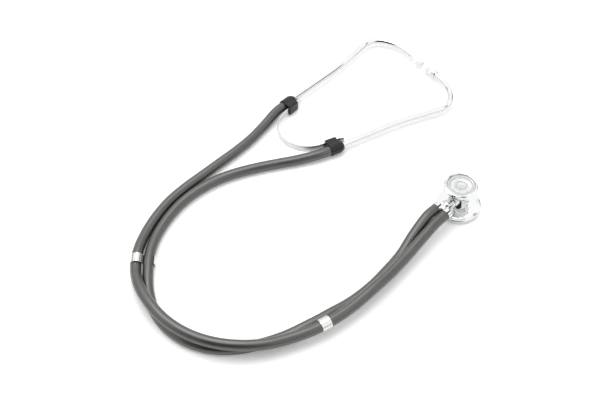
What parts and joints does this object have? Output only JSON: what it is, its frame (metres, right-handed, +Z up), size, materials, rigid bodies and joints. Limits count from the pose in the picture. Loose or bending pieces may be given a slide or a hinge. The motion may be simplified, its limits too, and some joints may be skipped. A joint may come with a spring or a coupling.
{
  "type": "stethoscope",
  "caption": "Binaural stethoscope with a turning two-sided chestpiece, twin hoses, bowed leaf spring and swivelling ear tubes, lying flat.",
  "frame": {"origin": "middle of the large diaphragm, on the table face that it rests on", "axes": "+Z up from the table; +X and +Y lie on the table, +X along the width and +Y along the depth of the lying stethoscope; the ear tubes point about 37 degrees from +X towards +Y"},
  "size_m": [0.3395, 0.4215, 0.034],
  "materials": {
    "chrome_plate": "polished chrome plate, mirror smooth",
    "spring_steel": "cold rolled strip with a fine grain along its length",
    "nickel_sheet": "nickel plated sheet, softly polished",
    "hose_vinyl": "satin grey vinyl hose",
    "holder_plastic": "moulded black plastic with a soft gloss",
    "tip_plastic": "soft white ear tip, satin",
    "diaphragm_resin": "resin sheet with a fine linen grain",
    "clear_sheet": "clear plastic sheet",
    "seal_rubber": "black nitrile seal",
    "slip_nylon": "natural nylon washer"
  },
  "bodies": {
    "hose_set": {"left_hose": "hose_vinyl", "right_hose": "hose_vinyl", "near_hose_clip": "nickel_sheet", "far_hose_clip": "nickel_sheet", "leaf_spring": "spring_steel", "yoke": "chrome_plate", "spindle": "chrome_plate", "spindle_seal": "seal_rubber", "spindle_screw": "chrome_plate", "slip_washer": "slip_nylon"},
    "chest_head": {"large_diaphragm": "diaphragm_resin", "large_gasket": "seal_rubber", "large_ring": "chrome_plate", "large_cup": "chrome_plate", "drum": "chrome_plate", "small_cup": "chrome_plate", "small_gasket": "seal_rubber", "small_diaphragm": "clear_sheet", "small_ring": "chrome_plate", "click_ball": "spring_steel", "click_spring": "spring_steel", "spring_plug": "chrome_plate"},
    "left_arm": {"left_spring_holder": "holder_plastic"},
    "right_arm": {"right_spring_holder": "holder_plastic"},
    "left_ear_piece": {"left_ear_tube": "chrome_plate", "left_tip_ferrule": "chrome_plate", "left_ear_tip": "tip_plastic"},
    "right_ear_piece": {"right_ear_tube": "chrome_plate", "right_tip_ferrule": "chrome_plate", "right_ear_tip": "tip_plastic"}
  },
  "joints": [
    {"name": "left_arm_spread", "type": "hinge", "parent": "hose_set", "child": "left_arm", "pos_m": [-0.17861, 0.10512, 0.0068], "axis": [0, 0, 1], "range_deg": [0, 24], "stiffness_Nm_per_rad": 1.59, "deforming": ["leaf_spring", "left_hose"]},
    {"name": "right_arm_spread", "type": "hinge", "parent": "hose_set", "child": "right_arm", "pos_m": [-0.15655, 0.07584, 0.0068], "axis": [0, 0, 1], "range_deg": [-24, 0], "stiffness_Nm_per_rad": 1.59, "deforming": ["leaf_spring", "right_hose"]},
    {"name": "left_ear_tube_turn", "type": "hinge", "parent": "left_arm", "child": "left_ear_piece", "pos_m": [-0.16975, 0.14094, 0.0068], "axis": [-0.7071, -0.7071, 0], "range_deg": [0, 30]},
    {"name": "right_ear_tube_turn", "type": "hinge", "parent": "right_arm", "child": "right_ear_piece", "pos_m": [-0.11967, 0.07449, 0.0068], "axis": [0.8746, 0.4848, 0], "range_deg": [0, 30]},
    {"name": "head_turn", "type": "hinge", "parent": "hose_set", "child": "chest_head", "pos_m": [0, 0, 0.017], "axis": [0.7071, 0.7071, 0], "continuous": true}
  ],
  "couplings": [
    {"joint": "right_arm_spread", "follows": "left_arm_spread", "ratio": -1}
  ]
}
